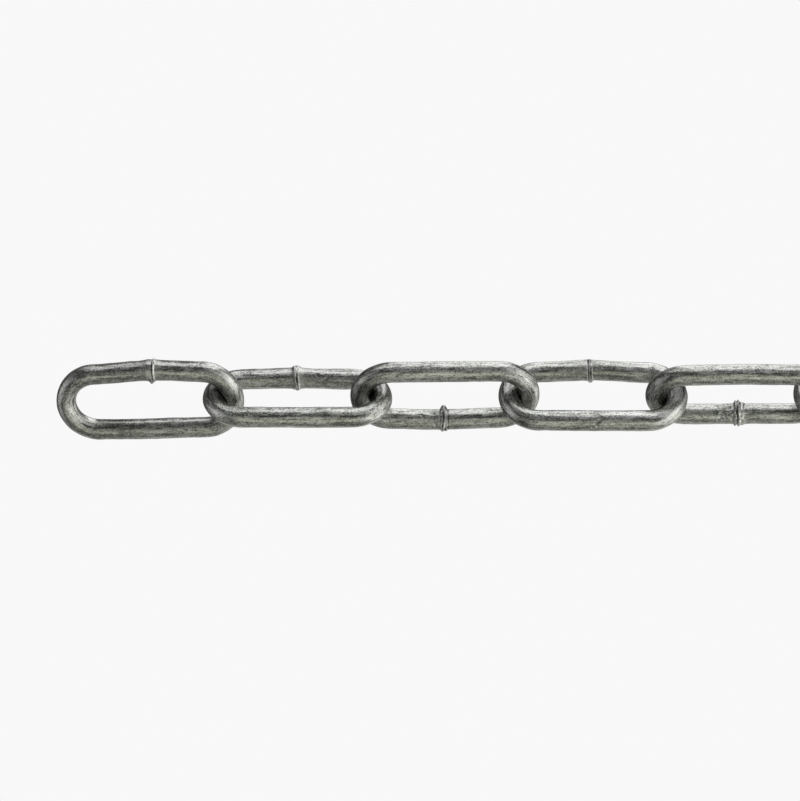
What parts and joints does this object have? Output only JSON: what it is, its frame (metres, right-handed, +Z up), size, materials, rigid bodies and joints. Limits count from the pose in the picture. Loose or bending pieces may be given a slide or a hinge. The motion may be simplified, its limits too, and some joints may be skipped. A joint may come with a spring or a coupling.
{
  "type": "long-link chain",
  "caption": "Straight length of long-link welded steel chain, laid taut on the floor, its links leaning over to alternate sides.",
  "frame": {"origin": "middle of the chain's underside, on the floor that it lies on", "axes": "+X along the chain, from the picture's left end to its right; +Y towards the top of the picture; +Z up from the floor, towards the camera"},
  "size_m": [1.008, 0.0234, 0.0217],
  "materials": {
    "galvanised_steel": "dull zinc coating, speckled and drawn along the wire"
  },
  "bodies": {
    "link_01": {"link_01": "galvanised_steel"},
    "link_02": {"link_02": "galvanised_steel"},
    "link_03": {"link_03": "galvanised_steel"},
    "link_04": {"link_04": "galvanised_steel"},
    "link_05": {"link_05": "galvanised_steel"},
    "link_06": {"link_06": "galvanised_steel"},
    "link_07": {"link_07": "galvanised_steel"},
    "link_08": {"link_08": "galvanised_steel"},
    "link_09": {"link_09": "galvanised_steel"},
    "link_10": {"link_10": "galvanised_steel"},
    "link_11": {"link_11": "galvanised_steel"},
    "link_12": {"link_12": "galvanised_steel"},
    "link_13": {"link_13": "galvanised_steel"},
    "link_14": {"link_14": "galvanised_steel"},
    "link_15": {"link_15": "galvanised_steel"},
    "link_16": {"link_16": "galvanised_steel"},
    "link_17": {"link_17": "galvanised_steel"},
    "link_18": {"link_18": "galvanised_steel"},
    "link_19": {"link_19": "galvanised_steel"},
    "link_20": {"link_20": "galvanised_steel"},
    "link_21": {"link_21": "galvanised_steel"},
    "link_22": {"link_22": "galvanised_steel"},
    "link_23": {"link_23": "galvanised_steel"},
    "link_24": {"link_24": "galvanised_steel"}
  },
  "joints": [
    {"name": "swing_02", "type": "hinge", "parent": "link_01", "child": "link_02", "pos_m": [-0.45317, 0.0001, 0.0113], "axis": [0, 0.8059, 0.592], "range_deg": [-120, 120]},
    {"name": "swing_03", "type": "hinge", "parent": "link_02", "child": "link_03", "pos_m": [-0.41166, 0.00084, 0.01029], "axis": [0.0072, -0.6934, 0.7206], "range_deg": [-120, 120]},
    {"name": "swing_04", "type": "hinge", "parent": "link_03", "child": "link_04", "pos_m": [-0.3702, 0.0008, 0.00983], "axis": [-0.0028, -0.66, -0.7513], "range_deg": [-120, 120]},
    {"name": "swing_05", "type": "hinge", "parent": "link_04", "child": "link_05", "pos_m": [-0.32854, 0.00014, 0.01026], "axis": [-0.0033, 0.7986, -0.6018], "range_deg": [-120, 120]},
    {"name": "swing_06", "type": "hinge", "parent": "link_05", "child": "link_06", "pos_m": [-0.28732, 0.00073, 0.01082], "axis": [0.005, 0.7028, 0.7114], "range_deg": [-120, 120]},
    {"name": "swing_07", "type": "hinge", "parent": "link_06", "child": "link_07", "pos_m": [-0.24573, 0.00112, 0.01014], "axis": [-0.012, -0.7534, 0.6574], "range_deg": [-120, 120]},
    {"name": "swing_08", "type": "hinge", "parent": "link_07", "child": "link_08", "pos_m": [-0.20411, 0.00019, 0.00983], "axis": [-0.0087, -0.6882, -0.7255], "range_deg": [-120, 120]},
    {"name": "swing_09", "type": "hinge", "parent": "link_08", "child": "link_09", "pos_m": [-0.16244, -0.00088, 0.01034], "axis": [-0.0001, 0.7248, -0.689], "range_deg": [-120, 120]},
    {"name": "swing_10", "type": "hinge", "parent": "link_09", "child": "link_10", "pos_m": [-0.12087, -0.00094, 0.01026], "axis": [-0.0095, 0.7421, 0.6703], "range_deg": [-120, 120]},
    {"name": "swing_11", "type": "hinge", "parent": "link_10", "child": "link_11", "pos_m": [-0.07932, 0.0001, 0.0097], "axis": [0.0108, -0.6819, 0.7313], "range_deg": [-120, 120]},
    {"name": "swing_12", "type": "hinge", "parent": "link_11", "child": "link_12", "pos_m": [-0.03768, 0.00144, 0.01033], "axis": [0.0051, -0.7441, -0.6681], "range_deg": [-120, 120]},
    {"name": "swing_13", "type": "hinge", "parent": "link_12", "child": "link_13", "pos_m": [0.00377, 0.00186, 0.01018], "axis": [0.0053, 0.722, -0.6919], "range_deg": [-120, 120]},
    {"name": "swing_14", "type": "hinge", "parent": "link_13", "child": "link_14", "pos_m": [0.04518, 0.00107, 0.00968], "axis": [0.011, 0.6898, 0.7239], "range_deg": [-120, 120]},
    {"name": "swing_15", "type": "hinge", "parent": "link_14", "child": "link_15", "pos_m": [0.08679, -0.00034, 0.01039], "axis": [-0.0094, -0.7541, 0.6567], "range_deg": [-120, 120]},
    {"name": "swing_16", "type": "hinge", "parent": "link_15", "child": "link_16", "pos_m": [0.12833, -0.00122, 0.00997], "axis": [0.0003, -0.7003, -0.7138], "range_deg": [-120, 120]},
    {"name": "swing_17", "type": "hinge", "parent": "link_16", "child": "link_17", "pos_m": [0.1697, -0.00098, 0.00975], "axis": [-0.0092, 0.7085, -0.7057], "range_deg": [-120, 120]},
    {"name": "swing_18", "type": "hinge", "parent": "link_17", "child": "link_18", "pos_m": [0.21118, 0.0004, 0.01059], "axis": [-0.0119, 0.7515, 0.6597], "range_deg": [-120, 120]},
    {"name": "swing_19", "type": "hinge", "parent": "link_18", "child": "link_19", "pos_m": [0.25276, 0.00171, 0.00985], "axis": [0.0045, -0.6852, 0.7284], "range_deg": [-120, 120]},
    {"name": "swing_20", "type": "hinge", "parent": "link_19", "child": "link_20", "pos_m": [0.29401, 0.00196, 0.00983], "axis": [-0.0055, -0.7306, -0.6828], "range_deg": [-120, 120]},
    {"name": "swing_21", "type": "hinge", "parent": "link_20", "child": "link_21", "pos_m": [0.3353, 0.0008, 0.01074], "axis": [0.0118, 0.7372, -0.6756], "range_deg": [-120, 120]},
    {"name": "swing_22", "type": "hinge", "parent": "link_21", "child": "link_22", "pos_m": [0.37691, -0.00072, 0.00981], "axis": [0.0084, 0.6828, 0.7306], "range_deg": [-120, 120]},
    {"name": "swing_23", "type": "hinge", "parent": "link_22", "child": "link_23", "pos_m": [0.4182, -0.0013, 0.00988], "axis": [0.0005, -0.7479, 0.6638], "range_deg": [-120, 120]},
    {"name": "swing_24", "type": "hinge", "parent": "link_23", "child": "link_24", "pos_m": [0.45951, -0.0004, 0.01085], "axis": [-0.0704, -0.5309, -0.8445], "range_deg": [-120, 120]}
  ]
}
